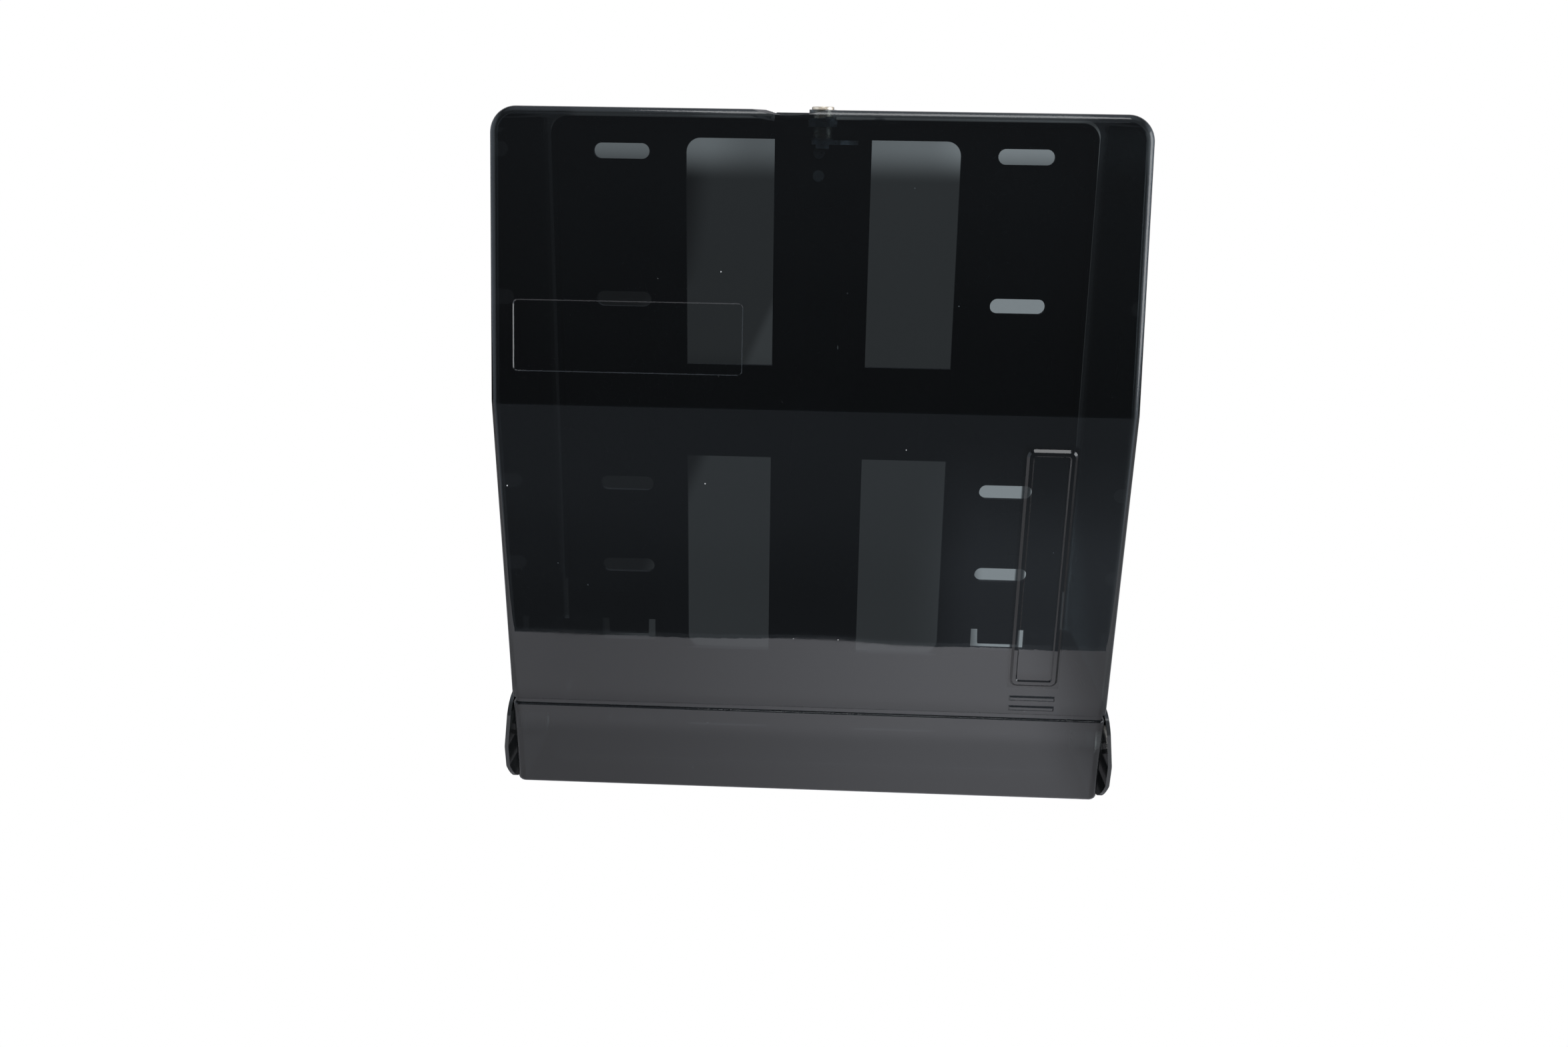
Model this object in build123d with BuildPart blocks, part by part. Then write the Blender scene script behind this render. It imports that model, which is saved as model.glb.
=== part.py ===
from build123d import *

import os
from math import hypot

# Wall-hung dispenser for folded paper napkins: a black back plate with two side arms and a dispensing
# tray, and a smoked, see-through cover that hinges forward between the ends of the arms and is locked
# at the top by a quarter-turn key lock.
# Frame: X to the right as seen from the front, Z up, the front faces -Y. The origin lies on the wall
# face, on the centre line, level with the cover's lower front edge. Millimetres.

os.makedirs("parts", exist_ok=True)

# ---- Driving dimensions ----

# Cover: outline seen from the front (half widths by height) and profile seen from the side.
HALF_WIDTH = 138.5
CREASE_HALF_WIDTH = 138.0
FOOT_HALF_WIDTH = 136.7
RIM_Z = 306.0
TOP_FRONT_Y, TOP_FRONT_Z = -111.0, 303.8
KINK_Y, KINK_Z = -130.0, 182.0
CREASE_Y, CREASE_Z = -118.5, 39.6
FOOT_Y, FOOT_Z = -119.2, -3.1
TOP_CORNER_R = 11.0
KINK_R, CREASE_R = 8.0, 10.0
SIDE_KINK_R, SIDE_CREASE_R = 300.0, 60.0
EDGE_R = 4.0
LIP_R = 0.7
WALL = 2.6
RIM_GAP = 1.0

# Groove under the crease, and the band below it, which hangs between the arms.
GROOVE_H = 2.4
GROOVE_INSET = 1.4
BAND_INSET = 0.3
BAND_CAVITY_INSET = 3.3
BAND_CAVITY_TOP = 43.0
TAB_REAR_Y = -72.0
BAND_FOOT_R = 2.4
BAND_OVERRUN, CAVITY_OVERRUN = 8.0, 20.0

# Label recess on the upper face; level window with a raised rim, and two bars, on the lower face.
LABEL_X, LABEL_W, LABEL_LOW_Z, LABEL_HIGH_Z = -79.25, 98.1, 195.2, 225.2
LABEL_R, LABEL_DEPTH = 2.0, 0.4
LEVEL_X, LEVEL_W, LEVEL_LOW_Z, LEVEL_HIGH_Z = 102.9, 21.6, 54.4, 166.7
LEVEL_R, LEVEL_RISE = 3.4, 1.1
LEVEL_RIM_W, LEVEL_INNER_R, LEVEL_SINK = 2.6, 1.6, 0.6
BAR_ROWS, BAR_W, BAR_H, BAR_RISE = (48.0, 43.0), 20.8, 2.6, 0.7
ROOT = 0.3
SLOPE = 45

# Hinge line through the two arm ends.
PIVOT_Y, PIVOT_Z = -94.0, 17.0
PIN_R = 3.0
PIN_DEPTH, PIN_SETBACK, PIN_CHAMFER = 3.0, 0.4, 0.4
RUNNING_GAP = 0.05
BUSH_R = 4.5
BOSS_R = 7.0
BOSS_INNER_X = 127.0
BOSS_OUTER_X = 137.3
BUSH_FLANGE_R, BUSH_FLANGE_T = 6.5, 0.8
ARM_BOSS_X = 138.4

# Back plate.
PLATE_T = 3.0
PLATE_R, SHOULDER_R = 8.5, 2.0
PLATE_HALF_W = 134.0
PLATE_TOP = 301.8
PLATE_FOOT = -4.0
SHOULDER_HALF_W = 138.5
SHOULDER_TOP = 38.0
FLANGE_T = 2.0
FLANGE_DEPTH = 10.0
FLANGE_FOOT = 63.0
WINDOW_HALF_W, WINDOW_BOTTOM, WINDOW_TOP = 68.2, 22.5, 292.3
WINDOW_R = 7.0
POST_HALF_W = 24.0
CROSSBAR_BOTTOM, CROSSBAR_TOP = 130.9, 179.6
SLOT_X = 100.4
SLOT_ROWS = (69.1, 114.9, 212.4, 285.5)
SLOT_LENGTH, SLOT_WIDTH = 28.0, 7.5
PAD_W, PAD_H, PAD_R, PAD_LINE, PAD_RISE = 40.8, 22.8, 4.0, 1.2, 0.8
KEEPER_GAP_X, KEEPER_GAP_W = -2.7, 43.4

# Side arms: flared wall seen from the front, and its end seen from the side.
ARM_WALL = 1.8
ARM_TOP, ARM_BOTTOM = 38.0, -4.0
ARM_TOP_X, ARM_FOOT_X = 140.2, 139.7
ARM_WIDEST_X, ARM_WIDEST_Z, ARM_WIDEST_R = 143.0, 13.0, 10.0
ARM_LOWER_X, ARM_LOWER_Z, ARM_LOWER_R = 142.6, 3.0, 3.0
ARM_ROOT_X = 130.0
ARM_FRONT_Y, ARM_TOP_R, ARM_NOSE_R = -115.0, 10.0, 6.0
FLANGE_INNER_X, FLANGE_TOP, ARM_FLANGE_T = 82.0, 53.0, 2.5
TONGUE_X, TONGUE_W, TONGUE_BOTTOM, TONGUE_TOP, TONGUE_CUT = 100.5, 29.0, 27.0, 39.0, 3.6
TONGUE_DRAFT = 92
NUB_W, NUB_DEPTH, NUB_H, NUB_Z = 16.0, 2.0, 3.0, 32.6
LEDGE_INNER_X, LEDGE_OUTER_X, LEDGE_Y, LEDGE_T = 111.0, 139.5, -60.0, 2.5
ARM_SCREWS = ((130.0, 9.0), (125.0, 46.0))
ARM_SCREW_BOSS_R, ARM_SCREW_BOSS_H, ARM_SCREW_DEPTH = 4.2, 7.0, 5.5
ARM_BOSS_H = 3.3

# Screws: shank and head radii, head heights, and the width and depth of their cross slots.
ARM_SCREW_R, ARM_SCREW_HEAD_R = 1.6, 3.2
TRAY_SCREW_R, KEEPER_SCREW_R, PAN_HEAD_R, PAN_HEAD_H = 1.5, 1.4, 2.8, 1.8
CROSS_W, CROSS_DEPTH = 0.7, 0.8
CROSS_LENGTH, SMALL_CROSS_LENGTH = 4.0, 3.6

# Dispensing tray.
TRAY_HALF_W, TRAY_FRONT_Y, TRAY_H = 123.0, -107.0, 24.0
TRAY_T = 2.5
TRAY_CORNER_R, TRAY_FLOOR_R = 8.0, 7.5
MOUTH_W, MOUTH_D, MOUTH_R, MOUTH_Y = 152.0, 54.0, 20.0, -60.0
LIP_DROP, MOUTH_EDGE_R = 3.0, 1.2
RIB_X, RIB_W, RIB_H, RIB_OVERRUN = (86.0, 102.0), 1.6, 2.0, 8.0
TRAY_SCREWS = ((116.0, -18.0), (116.0, -46.0))
TRAY_BOSS_R, TRAY_BOSS_H, TRAY_SCREW_DEPTH = 3.6, 5.0, 6.0

# Quarter-turn lock through the cover's top wall, and the keeper on the back plate.
LOCK_Y = -30.0
LOCK_PAD_TOP, LOCK_PAD_BOTTOM, LOCK_PAD_R, LOCK_PAD_CLEARANCE = 305.7, 301.8, 6.4, 0.3
SLEEVE_R, SLEEVE_BOTTOM = 4.5, 293.0
SLEEVE_FLANGE_R, SLEEVE_FLANGE_T, SLEEVE_EDGE_R = 5.2, 1.4, 0.5
BARREL_R, BARREL_HEAD_R, BARREL_HEAD_GAP = 3.45, 4.1, 0.15
WASHER_R, WASHER_T, NUT_FLAT_R, NUT_T = 6.2, 0.8, 5.9, 3.0
KEY_SLOT_W, KEY_SLOT_LENGTH, KEY_SLOT_DEPTH = 1.2, 5.6, 2.2
CAM_TOP, CAM_T, CAM_R = 292.0, 2.0, 5.2
CAM_SQUARE = 4.2
CAM_ARM_W, CAM_ARM_ANGLE = 5.0, -50
CLAW_INNER_R, CLAW_OUTER_R, CLAW_START, CLAW_SWEEP = 14.0, 17.0, -60, 90
CAM_SCREW_R, CAM_SCREW_LENGTH, CAM_HOLE_DEPTH = 1.25, 7.6, 8.0
CAM_SCREW_HEAD_R, CAM_CROSS_LENGTH = 3.2, 4.4
SPRING_R, SPRING_T, SPRING_RISE = 5.2, 0.4, 0.3
PEG_Y, PEG_R, PEG_LENGTH = -19.0, 2.5, 6.5
SHELF_BOTTOM, SHELF_TOP = 294.0, 298.0
SHELF_X, SHELF_W, SHELF_Y = -1.5, 37.0, -22.0
KEEPER_X, KEEPER_W, KEEPER_BOTTOM, KEEPER_TOP, KEEPER_T = -2.0, 24.0, 269.0, 300.0, 2.5
KEEPER_TAB_X, KEEPER_TAB_W, KEEPER_TAB_TOP, KEEPER_TAB_R = -13.5, 21.0, 304.8, 1.5
KEEPER_SCREW_Z, KEEPER_SCREW_DEPTH = (275.0, 286.0), 2.2
BUMPER_X, BUMPER_Y, BUMPER_R, BUMPER_H, BUMPER_EDGE_R = 27.4, -6.0, 2.5, 1.2, 0.8

# Finger scoop along the cover's top wall, and the notch behind it that the keeper's tab stands in.
SCOOP_X, SCOOP_R, SCOOP_DEPTH = -13.0, 52.0, 2.4
NOTCH_W, NOTCH_DEPTH, NOTCH_R, NOTCH_WALL = 23.4, 12.0, 3.0, 1.0

# Longer than anything here: for cuts and outlines that run right out.
TALL = 400.0

SIDES = (-1, 1)
UPWARDS = (Align.CENTER, Align.CENTER, Align.MIN)
DOWNWARDS = (Align.CENTER, Align.CENTER, Align.MAX)


# ---- Shared shapes ----


def half_width(z):
    """Half width of the cover's outer face at height z, below the kink."""
    if z >= CREASE_Z:
        share = (z - CREASE_Z) / (KINK_Z - CREASE_Z)
        return CREASE_HALF_WIDTH + share * (HALF_WIDTH - CREASE_HALF_WIDTH)
    share = (z - FOOT_Z) / (CREASE_Z - FOOT_Z)
    return FOOT_HALF_WIDTH + share * (CREASE_HALF_WIDTH - FOOT_HALF_WIDTH)


def soften(sketch, corners):
    """Rounds the sketch's corners that lie at the given heights."""
    for height, radius in corners:
        fillet([v for v in sketch.vertices() if abs(v.Y - height) < 0.01], radius)


def cover_block(inset, overrun=0.0):
    """Closed solid of the cover's form, moved inwards by inset. Overrun carries it past the two open
    sides, the back and the foot, so that a cavity cut with it opens both."""
    rear = overrun - RIM_GAP
    foot_z = FOOT_Z - overrun
    foot_half = half_width(foot_z)
    top_slope = (RIM_Z - TOP_FRONT_Z) / (-RIM_GAP - TOP_FRONT_Y)
    with BuildPart() as block:
        with BuildSketch(Plane.XZ.offset(-rear)) as outline:
            with BuildLine():
                Polyline(
                    (-foot_half, foot_z),
                    (foot_half, foot_z),
                    (CREASE_HALF_WIDTH, CREASE_Z),
                    (HALF_WIDTH, KINK_Z),
                    (HALF_WIDTH, TALL),
                    (-HALF_WIDTH, TALL),
                    (-HALF_WIDTH, KINK_Z),
                    (-CREASE_HALF_WIDTH, CREASE_Z),
                    close=True,
                )
            make_face()
            soften(outline, ((KINK_Z, SIDE_KINK_R), (CREASE_Z, SIDE_CREASE_R)))
            if inset:
                offset(amount=-inset, kind=Kind.INTERSECTION)
        extrude(amount=rear - KINK_Y + EDGE_R)
        with BuildSketch(Plane.YZ) as profile:
            with BuildLine():
                Polyline(
                    (rear, foot_z),
                    (FOOT_Y, foot_z),
                    (CREASE_Y, CREASE_Z),
                    (KINK_Y, KINK_Z),
                    (TOP_FRONT_Y, TOP_FRONT_Z),
                    (rear, RIM_Z + overrun * top_slope),
                    close=True,
                )
            make_face()
            soften(profile, ((KINK_Z, KINK_R), (CREASE_Z, CREASE_R)))
            if inset:
                offset(amount=-inset, kind=Kind.INTERSECTION)
        extrude(amount=HALF_WIDTH + EDGE_R, both=True, mode=Mode.INTERSECT)
        top = block.faces().filter_by(lambda face: face.normal_at().Z > 0.9)
        fillet(
            [edge for edge in top.edges() if abs(edge.tangent_at(0.5).Y) > 0.9],
            TOP_CORNER_R - inset,
        )
        front_faces = block.faces().filter_by(lambda face: face.normal_at().Y < -0.9)
        rounded = [
            edge
            for edge in front_faces.edges()
            if abs(edge.tangent_at(0.5).X) < 0.9 or edge.center().Z > TOP_FRONT_Z - 2 * EDGE_R
        ]
        fillet(rounded, max(EDGE_R - inset, 1.0))
    return block.part


def slab(part, low, high, low_r=0.0, high_r=0.0):
    """The stretch of a part between two heights, with its cut edges rounded except along the back."""
    with BuildPart() as piece:
        add(part)
        with Locations((0, 0, (low + high) / 2)):
            Box(TALL, TALL, high - low, mode=Mode.INTERSECT)
        for level, radius in ((0, low_r), (-1, high_r)):
            if radius:
                rim = piece.faces().group_by(Axis.Z)[level].edges()
                back = rim.group_by(Axis.Y)[-1]
                fillet([edge for edge in rim if edge not in back], radius)
    return piece.part


def face_plane(low_y, low_z, high_y, high_z):
    """Plane of one of the cover's sloping front faces: x along X, y up the slope, z outwards."""
    return Plane(
        origin=(0, low_y, low_z), x_dir=(1, 0, 0), z_dir=(0, low_z - high_z, high_y - low_y)
    )


def up_slope(z, low_y, low_z, high_y, high_z):
    """Distance up a sloping front face at which it reaches height z."""
    return (z - low_z) * hypot(high_y - low_y, high_z - low_z) / (high_z - low_z)


def mirrored(spots):
    """The given spots on the right, and the same ones on the left."""
    return [(side * x, y) for side in SIDES for x, y in spots]


def cross_slot(length):
    """Cuts a cross slot into the screw head whose top is at the current location."""
    Box(length, CROSS_W, 2 * CROSS_DEPTH, mode=Mode.SUBTRACT)
    Box(CROSS_W, length, 2 * CROSS_DEPTH, mode=Mode.SUBTRACT)


# ---- Back plate ----

plate_mid_z = (PLATE_TOP + PLATE_FOOT) / 2
window_mid_z = (WINDOW_BOTTOM + WINDOW_TOP) / 2
tongue_z = (TONGUE_BOTTOM + TONGUE_TOP) / 2
keeper_holes = [(KEEPER_X, z) for z in KEEPER_SCREW_Z]
arm_screw_spots = mirrored(ARM_SCREWS)
slot_spots = mirrored([(SLOT_X, row) for row in SLOT_ROWS])

with BuildPart() as back_plate:
    with BuildSketch(Plane.XZ):
        with Locations((0, plate_mid_z)):
            RectangleRounded(2 * PLATE_HALF_W, PLATE_TOP - PLATE_FOOT, PLATE_R)
        with Locations((0, (SHOULDER_TOP + PLATE_FOOT) / 2)):
            RectangleRounded(2 * SHOULDER_HALF_W, SHOULDER_TOP - PLATE_FOOT, SHOULDER_R)
    extrude(amount=PLATE_T)

    # Rim flange along the sides and the top.
    with BuildSketch(Plane.XZ):
        with Locations((0, plate_mid_z)):
            RectangleRounded(2 * PLATE_HALF_W, PLATE_TOP - PLATE_FOOT, PLATE_R)
            RectangleRounded(
                2 * (PLATE_HALF_W - FLANGE_T),
                PLATE_TOP - PLATE_FOOT - 2 * FLANGE_T,
                PLATE_R - FLANGE_T,
                mode=Mode.SUBTRACT,
            )
        with Locations((0, FLANGE_FOOT)):
            Rectangle(TALL, TALL, align=(Align.CENTER, Align.MAX), mode=Mode.SUBTRACT)
    extrude(amount=FLANGE_DEPTH)

    # Four windows: one rounded opening, parted by a post and a bar.
    with BuildSketch(Plane.XZ):
        with Locations((0, window_mid_z)):
            RectangleRounded(2 * WINDOW_HALF_W, WINDOW_TOP - WINDOW_BOTTOM, WINDOW_R)
            Rectangle(2 * POST_HALF_W, TALL, mode=Mode.SUBTRACT)
        with Locations((0, (CROSSBAR_BOTTOM + CROSSBAR_TOP) / 2)):
            Rectangle(TALL, CROSSBAR_TOP - CROSSBAR_BOTTOM, mode=Mode.SUBTRACT)
    extrude(amount=PLATE_T, mode=Mode.SUBTRACT)

    # Raised outline and slot at each wall screw position.
    with BuildSketch(Plane.XZ.offset(PLATE_T)):
        with Locations(*slot_spots):
            RectangleRounded(PAD_W, PAD_H, PAD_R)
            RectangleRounded(
                PAD_W - 2 * PAD_LINE, PAD_H - 2 * PAD_LINE, PAD_R - PAD_LINE, mode=Mode.SUBTRACT
            )
    extrude(amount=PAD_RISE)
    with BuildSketch(Plane.XZ):
        with Locations(*slot_spots):
            SlotOverall(SLOT_LENGTH, SLOT_WIDTH)
    extrude(amount=PLATE_T, mode=Mode.SUBTRACT)

    # Openings behind the arms' snap tongues.
    with BuildSketch(Plane.XZ):
        with Locations(*mirrored([(TONGUE_X, tongue_z)])):
            Rectangle(TONGUE_W, TONGUE_TOP - TONGUE_BOTTOM)
    extrude(amount=PLATE_T, mode=Mode.SUBTRACT)

    # Gap in the top flange for the keeper, and its two screw holes.
    with Locations((KEEPER_GAP_X, -PLATE_T - FLANGE_DEPTH / 2, PLATE_TOP)):
        Box(KEEPER_GAP_W, FLANGE_DEPTH, 3 * FLANGE_T, mode=Mode.SUBTRACT)
    with BuildSketch(Plane.XZ.offset(PLATE_T)):
        with Locations(*keeper_holes):
            Circle(KEEPER_SCREW_R)
    extrude(amount=-KEEPER_SCREW_DEPTH, mode=Mode.SUBTRACT)

    # Countersunk holes for the arm screws, driven from the wall side.
    with Locations(*[Plane((x, 0, z), x_dir=(1, 0, 0), z_dir=(0, 1, 0)) for x, z in arm_screw_spots]):
        CounterSinkHole(
            radius=ARM_SCREW_R, counter_sink_radius=ARM_SCREW_HEAD_R, counter_sink_angle=90
        )

back_plate.part.label = "back_plate"
export_step(back_plate.part, "parts/back_plate.step")


# ---- Side arms ----

with BuildPart() as right_side_arm:
    # Flared wall, drawn seen from the front, and its closed end on the back plate.
    with BuildSketch(Plane.XZ.offset(PLATE_T)) as flare:
        with BuildLine():
            Polyline(
                (ARM_TOP_X, ARM_TOP),
                (ARM_WIDEST_X, ARM_WIDEST_Z),
                (ARM_LOWER_X, ARM_LOWER_Z),
                (ARM_FOOT_X, ARM_BOTTOM),
                (ARM_ROOT_X, ARM_BOTTOM),
                (ARM_ROOT_X, ARM_TOP),
                close=True,
            )
        make_face()
        soften(flare, ((ARM_WIDEST_Z, ARM_WIDEST_R), (ARM_LOWER_Z, ARM_LOWER_R)))
    extrude(amount=ARM_FLANGE_T)
    with BuildSketch(Plane.XZ.offset(PLATE_T)):
        add(flare.sketch_local)
        add(flare.sketch_local.moved(Location((-ARM_WALL, 0, 0))), mode=Mode.SUBTRACT)
    extrude(amount=-PLATE_T - ARM_FRONT_Y)

    # Its end, drawn seen from the side.
    with BuildSketch(Plane.YZ.offset(ARM_ROOT_X)) as nose:
        with BuildLine():
            Polyline(
                (-PLATE_T, ARM_BOTTOM),
                (-PLATE_T, ARM_TOP),
                (ARM_FRONT_Y, ARM_TOP),
                (ARM_FRONT_Y, ARM_BOTTOM),
                close=True,
            )
        make_face()
        fillet(nose.vertices().group_by(Axis.Y)[-1].sort_by(Axis.X)[0], ARM_TOP_R)
        fillet(nose.vertices().group_by(Axis.Y)[0].sort_by(Axis.X)[0], ARM_NOSE_R)
    extrude(amount=ARM_WIDEST_X - ARM_ROOT_X + ARM_WALL, mode=Mode.INTERSECT)

    # Rear flange that lies on the back plate, in two heights beside and below the cover's rim.
    with BuildSketch(Plane.XZ.offset(PLATE_T)):
        with Locations((FLANGE_INNER_X, ARM_BOTTOM)):
            Rectangle(
                PLATE_HALF_W - FLANGE_T - FLANGE_INNER_X,
                FLANGE_TOP - ARM_BOTTOM,
                align=(Align.MIN, Align.MIN),
            )
            Rectangle(
                SHOULDER_HALF_W - FLANGE_INNER_X, ARM_TOP - ARM_BOTTOM, align=(Align.MIN, Align.MIN)
            )
    extrude(amount=ARM_FLANGE_T)

    # Ledge that carries the tray.
    with Locations(((LEDGE_INNER_X + LEDGE_OUTER_X) / 2, (LEDGE_Y - PLATE_T) / 2, -LEDGE_T / 2)):
        Box(LEDGE_OUTER_X - LEDGE_INNER_X, -PLATE_T - LEDGE_Y, LEDGE_T)

    # Bosses for the arm screws and for the hinge pin.
    with BuildSketch(Plane.XZ.offset(PLATE_T)):
        with Locations(*ARM_SCREWS):
            Circle(ARM_SCREW_BOSS_R)
    extrude(amount=ARM_SCREW_BOSS_H)
    with BuildSketch(Plane.YZ.offset(ARM_BOSS_X)):
        with Locations((PIVOT_Y, PIVOT_Z)):
            Circle(BOSS_R)
    extrude(amount=ARM_BOSS_H)

    # Snap tongue, hanging from its top edge, with a nub that catches in the back plate.
    with BuildSketch(Plane.XZ.offset(PLATE_T)):
        with Locations((TONGUE_X, tongue_z)):
            Rectangle(TONGUE_W, TONGUE_TOP - TONGUE_BOTTOM)
        with Locations((TONGUE_X, tongue_z + TONGUE_CUT / 2)):
            Trapezoid(
                TONGUE_W - 2 * TONGUE_CUT,
                TONGUE_TOP - TONGUE_BOTTOM - TONGUE_CUT,
                TONGUE_DRAFT,
                mode=Mode.SUBTRACT,
            )
    extrude(amount=ARM_FLANGE_T, mode=Mode.SUBTRACT)
    with Locations((TONGUE_X, -PLATE_T + NUB_DEPTH / 2, NUB_Z)):
        Box(NUB_W, NUB_DEPTH, NUB_H)

    # Holes: arm screws, tray screws and the blind hole that the hinge pin is pressed into.
    with BuildSketch(Plane.XZ.offset(PLATE_T)):
        with Locations(*ARM_SCREWS):
            Circle(ARM_SCREW_R)
    extrude(amount=ARM_SCREW_DEPTH, mode=Mode.SUBTRACT)
    with BuildSketch(Plane.XY.offset(-LEDGE_T)):
        with Locations(*TRAY_SCREWS):
            Circle(TRAY_SCREW_R)
    extrude(amount=LEDGE_T, mode=Mode.SUBTRACT)
    with BuildSketch(Plane.YZ.offset(ARM_BOSS_X)):
        with Locations((PIVOT_Y, PIVOT_Z)):
            Circle(PIN_R)
    extrude(amount=PIN_DEPTH, mode=Mode.SUBTRACT)

right_side_arm.part.label = "right_side_arm"
export_step(right_side_arm.part, "parts/right_side_arm.step")

with BuildPart() as left_side_arm:
    mirror(right_side_arm.part, about=Plane.YZ)

left_side_arm.part.label = "left_side_arm"
export_step(left_side_arm.part, "parts/left_side_arm.step")

with BuildPart() as arm_screws:
    countersink = ARM_SCREW_HEAD_R - ARM_SCREW_R
    with BuildSketch(Plane.XZ):
        with Locations(*arm_screw_spots):
            Circle(ARM_SCREW_R)
    extrude(amount=PLATE_T + ARM_SCREW_DEPTH)
    for x, z in arm_screw_spots:
        with Locations(Plane((x, 0, z), x_dir=(1, 0, 0), z_dir=(0, 1, 0))):
            Cone(ARM_SCREW_R, ARM_SCREW_HEAD_R, countersink, align=DOWNWARDS)
            cross_slot(CROSS_LENGTH)

arm_screws.part.label = "arm_screws"
export_step(arm_screws.part, "parts/arm_screws.step")


# ---- Dispensing tray ----

tray_rear_y = -ARM_FLANGE_T - PLATE_T
tray_spots = mirrored(TRAY_SCREWS)


def tray_block(inset):
    """The tray's outer form, moved inwards by inset at the walls and up by inset at the floor."""
    depth = tray_rear_y - TRAY_FRONT_Y
    with BuildPart() as block:
        with BuildSketch(Plane.XY.offset(inset)):
            with Locations((0, TRAY_FRONT_Y + depth / 2)):
                Rectangle(2 * (TRAY_HALF_W - inset), depth - 2 * inset)
        extrude(amount=TRAY_H)
        fillet(block.edges().filter_by(Axis.Z).sort_by(Axis.Y)[:2], TRAY_CORNER_R - inset)
        front_edges = block.edges().group_by(Axis.Z)[0].filter_by(
            lambda edge: edge.center().Y < TRAY_FRONT_Y / 2
        )
        fillet(front_edges, TRAY_FLOOR_R - inset)
    return block.part


tray_outer = tray_block(0.0)
tray_inner = tray_block(TRAY_T)

with BuildPart() as dispensing_tray:
    add(tray_outer)
    add(tray_inner, mode=Mode.SUBTRACT)

    # Floor ribs that the stack slides on, and bosses over the tray screws.
    with BuildSketch(Plane.XY.offset(TRAY_T)):
        with Locations(*mirrored([(x, MOUTH_Y) for x in RIB_X])):
            Rectangle(RIB_W, MOUTH_D + 2 * RIB_OVERRUN)
    extrude(amount=RIB_H)
    with BuildSketch(Plane.XY.offset(TRAY_T)):
        with Locations(*tray_spots):
            Circle(TRAY_BOSS_R)
    extrude(amount=TRAY_BOSS_H)

    # Mouth, with a lip turned down all round it.
    with BuildSketch(Plane.XY.offset(TRAY_T)):
        with Locations((0, MOUTH_Y)):
            RectangleRounded(MOUTH_W + 2 * TRAY_T, MOUTH_D + 2 * TRAY_T, MOUTH_R + TRAY_T)
    extrude(amount=-TRAY_T - LIP_DROP)
    with BuildSketch(Plane.XY.offset(TRAY_T)):
        with Locations((0, MOUTH_Y)):
            RectangleRounded(MOUTH_W, MOUTH_D, MOUTH_R)
    extrude(amount=-TRAY_T - LIP_DROP, mode=Mode.SUBTRACT)
    mouth_edges = dispensing_tray.edges().filter_by(
        lambda edge: abs(edge.center().Z - TRAY_T) < 0.01
        and abs(edge.center().X) < MOUTH_W / 2 + 0.1
        and abs(edge.center().Y - MOUTH_Y) < MOUTH_D / 2 + 0.1
    )
    fillet(mouth_edges, MOUTH_EDGE_R)

    with BuildSketch(Plane.XY):
        with Locations(*tray_spots):
            Circle(TRAY_SCREW_R)
    extrude(amount=TRAY_SCREW_DEPTH, mode=Mode.SUBTRACT)

dispensing_tray.part.label = "dispensing_tray"
export_step(dispensing_tray.part, "parts/dispensing_tray.step")

with BuildPart() as tray_screws:
    for x, y in tray_spots:
        with Locations((x, y, -LEDGE_T)):
            Cylinder(TRAY_SCREW_R, LEDGE_T + TRAY_SCREW_DEPTH, align=UPWARDS)
            Cylinder(PAN_HEAD_R, PAN_HEAD_H, align=DOWNWARDS)
            with Locations((0, 0, -PAN_HEAD_H)):
                cross_slot(SMALL_CROSS_LENGTH)

tray_screws.part.label = "tray_screws"
export_step(tray_screws.part, "parts/tray_screws.step")


# ---- Keeper for the lock, on the back plate ----

with BuildPart() as latch_keeper:
    with BuildSketch(Plane.XZ.offset(PLATE_T)):
        with Locations((KEEPER_X, (KEEPER_BOTTOM + KEEPER_TOP) / 2)):
            Rectangle(KEEPER_W, KEEPER_TOP - KEEPER_BOTTOM)
        with Locations((KEEPER_TAB_X, (SHELF_BOTTOM + KEEPER_TAB_TOP) / 2)):
            RectangleRounded(KEEPER_TAB_W, KEEPER_TAB_TOP - SHELF_BOTTOM, KEEPER_TAB_R)
    extrude(amount=KEEPER_T)
    with Locations((SHELF_X, (SHELF_Y - PLATE_T) / 2, (SHELF_TOP + SHELF_BOTTOM) / 2)):
        Box(SHELF_W, -PLATE_T - SHELF_Y, SHELF_TOP - SHELF_BOTTOM)
    with Locations((0, PEG_Y, SHELF_BOTTOM)):
        Cylinder(PEG_R, PEG_LENGTH, align=DOWNWARDS)
    with BuildSketch(Plane.XZ.offset(PLATE_T)):
        with Locations(*keeper_holes):
            Circle(KEEPER_SCREW_R)
    extrude(amount=KEEPER_T, mode=Mode.SUBTRACT)

latch_keeper.part.label = "latch_keeper"
export_step(latch_keeper.part, "parts/latch_keeper.step")

with BuildPart() as keeper_screws:
    for x, z in keeper_holes:
        with Locations(Plane((x, -PLATE_T - KEEPER_T, z), x_dir=(1, 0, 0), z_dir=(0, -1, 0))):
            Cylinder(KEEPER_SCREW_R, KEEPER_T + KEEPER_SCREW_DEPTH, align=DOWNWARDS)
            Cylinder(PAN_HEAD_R, PAN_HEAD_H, align=UPWARDS)
            with Locations((0, 0, PAN_HEAD_H)):
                cross_slot(SMALL_CROSS_LENGTH)

keeper_screws.part.label = "keeper_screws"
export_step(keeper_screws.part, "parts/keeper_screws.step")

with BuildPart() as top_bumpers:
    with Locations(*[(side * BUMPER_X, BUMPER_Y, PLATE_TOP) for side in SIDES]):
        Cylinder(BUMPER_R, BUMPER_H, align=UPWARDS)
    fillet(top_bumpers.edges().group_by(Axis.Z)[-1], BUMPER_EDGE_R)

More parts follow.
